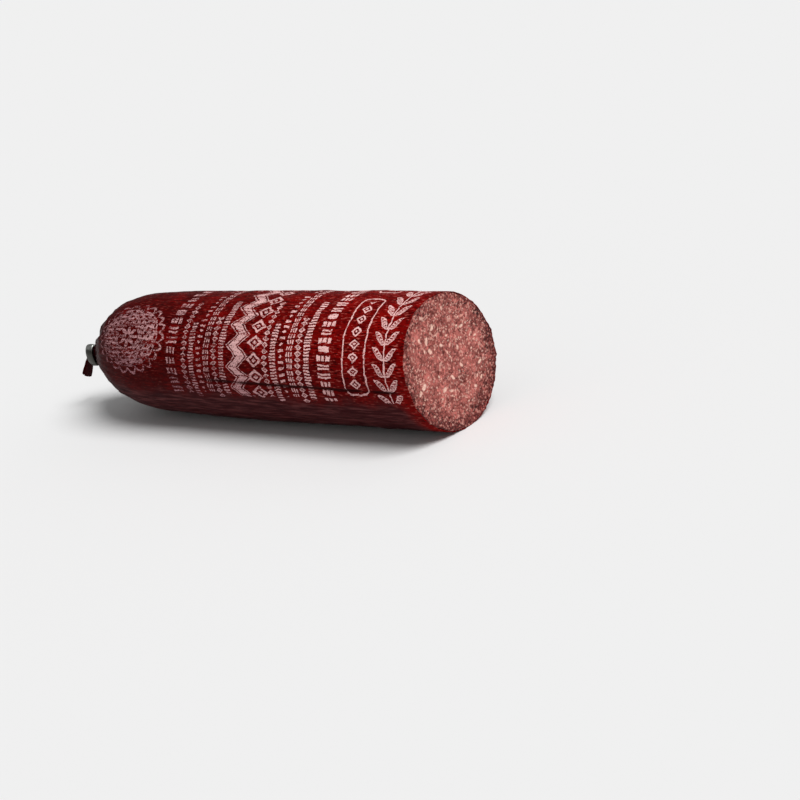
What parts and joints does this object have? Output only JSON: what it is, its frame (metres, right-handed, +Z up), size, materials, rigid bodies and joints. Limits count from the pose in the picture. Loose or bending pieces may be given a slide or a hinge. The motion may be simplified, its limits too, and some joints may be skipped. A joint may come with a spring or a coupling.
{
  "type": "cured sausage",
  "caption": "Cut cured sausage: fine-ground meat in a red film casing, open at the straight cut, gathered and clipped shut at the other end.",
  "frame": {"origin": "under the middle of the sausage's length, on the surface that it lies on", "axes": "+X along the sausage towards the cut end, +Z up"},
  "size_m": [0.2772, 0.0646, 0.0639],
  "materials": {
    "casing_film": "printed fibrous casing, satin, with fine lengthwise wrinkles",
    "ground_meat": "fine-ground cured meat with small fat flecks, cut face slightly moist",
    "clip_wire": "flat wire, dull, with bright worn edges"
  },
  "bodies": {
    "root": {"casing": "casing_film", "meat": "ground_meat", "clip": "clip_wire"}
  },
  "joints": []
}
